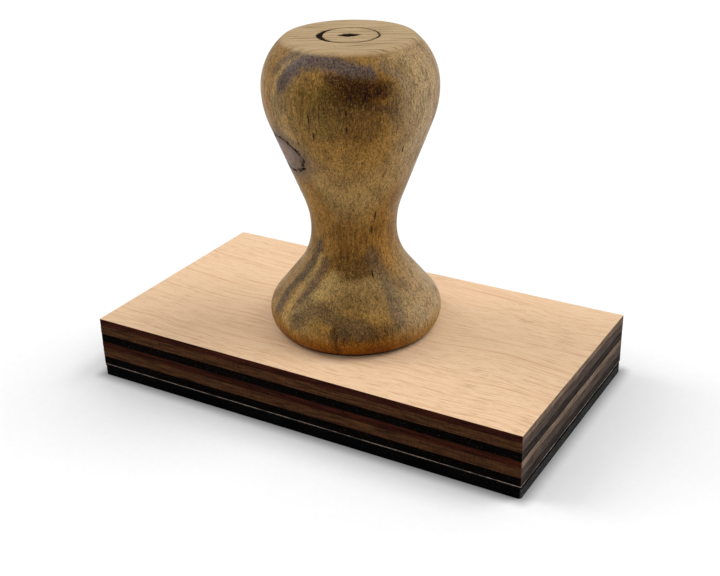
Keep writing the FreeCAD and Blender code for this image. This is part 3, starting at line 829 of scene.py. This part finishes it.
def tape_edge():
    """Cream tape whose edge shows in dashes between dark stretches."""
    graph = Graph("tape")
    dashes = graph.noise(2.4, stretch=(2.2, 2.2, 1), seed=42, detail=3, roughness=0.7)
    fine = graph.noise(0.4, seed=43, detail=2)
    colour = graph.mix(graph.step(fine, 0.35, 0.65), linear(84, 70, 62), linear(150, 132, 118))
    colour = graph.mix(graph.step(dashes, 0.48, 0.62, 0.0, 0.8), colour, linear(20, 16, 14))
    return graph.finish(colour, 0.6, fine, depth=0.05)


def foam_black():
    """Black closed-cell foam."""
    graph = Graph("foam")
    cells = graph.noise(0.3, seed=44, detail=3)
    colour = graph.mix(graph.step(cells, 0.4, 0.6), linear(3, 3, 4), linear(16, 16, 17))
    return graph.finish(colour, 0.92, cells, depth=0.12, specular=0.04)


def die_rubber():
    """Matt black rubber with dust and cut marks on its edge, and painted light on its short sides.
    """
    graph = Graph("die_rubber")
    cuts = graph.noise(0.5, stretch=(1, 1, 5), seed=45, detail=3)
    dust = graph.noise(0.30, seed=46, detail=3, roughness=0.7)
    where = graph.noise(9, seed=47, detail=2)
    lit_side_share = short_sides(graph)
    colour = graph.mix(graph.step(cuts, 0.35, 0.7), linear(0, 0, 0), linear(4, 4, 5))
    # dust, laid mostly on the lit short sides
    amount = graph.math("MULTIPLY", graph.step(dust, 0.55, 0.66),
                        graph.step(where, 0.36, 0.62, 0.15, 1.0))
    amount = graph.math("MULTIPLY", amount, graph.math("MULTIPLY_ADD", lit_side_share, 0.75, 0.12))
    colour = graph.mix(amount, colour, linear(118, 120, 122))
    # painted light: a flat grey on the short sides
    colour = graph.mix(graph.math("MULTIPLY", lit_side_share, 0.22), colour, linear(92, 92, 90))
    height = graph.math("ADD", graph.math("MULTIPLY", cuts, 0.7), graph.math("MULTIPLY", dust, 0.3))
    return graph.finish(colour, 0.85, height, depth=0.10, specular=0.02)


def screw_zinc():
    """Brushed zinc plating."""
    graph = Graph("screw_zinc")
    brushed = graph.noise(0.25, stretch=(1, 1, 0.2), seed=48, detail=2)
    colour = graph.mix(brushed, linear(196, 184, 140), linear(226, 218, 190))
    graph.feed(graph.surface.inputs["Metallic"], 1.0)
    return graph.finish(colour, 0.32, brushed, depth=0.03)


def make_block():
    """The plies, glue, tape and foam, from the bottom up."""
    through = ((0.0, BORE_RADIUS), (1.0, BORE_RADIUS))
    sunk_share = 0.15                         # share of the lowest ply above which the cone starts
    countersink = ((0.0, SEAT_RADIUS), (sunk_share, SEAT_RADIUS), (1.0, BORE_RADIUS))
    hidden_face = face_veneer("inner_face_veneer", False)
    core, back = core_veneer(), back_veneer()
    make_layer("tape_layer", "mounting_tape", tape_edge(), 0.10, 1, rows=1)
    make_layer("foam_layer", "cushion_foam", foam_black(), 0.12, 2, inset=0.05, rows=2)
    make_layer("lower_back_layer", "lower_panel_back_ply", back, 0.09, 3,
               hole=countersink)
    make_layer("lower_core_layer", "lower_panel_core_ply", core, 0.07, 4,
               hole=through)
    make_layer("lower_face_layer", "lower_panel_face_ply", hidden_face, 0.06, 5,
               hole=through)
    make_layer("glue_layer", "panel_glue_film", glue_line(), 0.10, 6, inset=0.03,
               rows=1, hole=through)
    make_layer("upper_back_layer", "upper_panel_back_ply", back, 0.09, 7,
               hole=through)
    make_layer("upper_core_layer", "upper_panel_core_ply", core, 0.07, 8,
               hole=through)
    make_layer("upper_face_layer", "upper_panel_face_ply", face_veneer("face_veneer", True),
               0.05, 9, hole=through)


def paint_node(node, material):
    """Give a node that keeps its own mesh its material."""
    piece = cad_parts[node]
    piece.data.materials.clear()
    piece.data.materials.append(material)


# ---------------------------------------------------------------- stage

PAINTED_SHADOW_REACH = 3.6                             # the floor has a painted shadow this near to the block


def make_camera():
    data = bpy.data.cameras.new("camera")
    data.lens = CAMERA_LENS
    data.sensor_width = 36.0
    data.clip_start, data.clip_end = 0.01, 20.0
    camera = bpy.data.objects.new("camera", data)
    bpy.context.scene.collection.objects.link(camera)
    forward = Vector((-math.sin(CAMERA_AZIMUTH) * math.cos(CAMERA_ELEVATION),
                      math.cos(CAMERA_AZIMUTH) * math.cos(CAMERA_ELEVATION),
                      -math.sin(CAMERA_ELEVATION)))
    level = Vector((math.cos(CAMERA_AZIMUTH), math.sin(CAMERA_AZIMUTH), 0))
    right = level * math.cos(CAMERA_ROLL) + level.cross(forward) * math.sin(CAMERA_ROLL)
    up = right.cross(forward)
    turn = Matrix((right, up, -forward)).transposed()
    camera.matrix_world = Matrix.Translation(CAMERA_PLACE) @ turn.to_4x4()
    bpy.context.scene.camera = camera


def make_floor():
    """A pale floor with a painted shadow along the block's edge."""
    mesh = bmesh.new()
    bmesh.ops.create_grid(mesh, x_segments=1, y_segments=1, size=3.0)
    floor = from_bmesh("floor", mesh, 30)
    floor.location.z = -0.02 * MM             # just clear of the printing face
    graph = Graph("floor")
    tooth = graph.noise(1.5, seed=50, detail=2)
    colour = graph.mix(tooth, (0.86, 0.86, 0.865, 1), (0.90, 0.90, 0.90, 1))
    past_x = graph.math("SUBTRACT", graph.math("ABSOLUTE", graph.x), CAD_BOX[1][0] / MM)
    past_y = graph.math("SUBTRACT", graph.math("ABSOLUTE", graph.y), CAD_BOX[1][1] / MM)
    past = graph.vector("LENGTH", graph.combine(graph.math("MAXIMUM", past_x, 0.0),
                                                graph.math("MAXIMUM", past_y, 0.0), 0.0))
    # painted shadow: the floor darkens towards the block's outline, by up to 0.62
    colour = graph.shade(colour, graph.step(past, PAINTED_SHADOW_REACH, -1.0), 0.62)
    floor.data.materials.append(graph.finish(colour, 0.6, tooth, depth=0.02, specular=0.2))


def make_light(name, place, aim, size, power):
    """A round area light, aimed at a place."""
    data = bpy.data.lights.new(name, "AREA")
    data.shape = "DISK"
    data.size = size
    data.energy = power
    light = bpy.data.objects.new(name, data)
    light.location = place
    light.rotation_euler = (Vector(aim) - Vector(place)).to_track_quat("-Z", "Y").to_euler()
    bpy.context.scene.collection.objects.link(light)


def make_studio():
    """Near-white surroundings, a large soft key from the right and a weak fill from the left."""
    world = bpy.data.worlds.new("studio")
    world.use_nodes = True
    background = world.node_tree.nodes["Background"]
    background.inputs["Color"].default_value = (1.0, 1.0, 1.0, 1)
    background.inputs["Strength"].default_value = 0.60
    bpy.context.scene.world = world
    make_light("key", (0.9, 0.6, 1.5), (0, 0, 0.03), 1.1, 17.0)
    make_light("fill", (-1.1, -0.2, 1.0), (0, 0, 0.04), 0.9, 9.0)
    bpy.context.scene.view_settings.view_transform = "Standard"


def main():
    make_camera()
    make_floor()
    make_studio()
    make_handle()
    make_block()
    paint_node("rubber_die", die_rubber())
    paint_node("handle_screw", screw_zinc())


main()
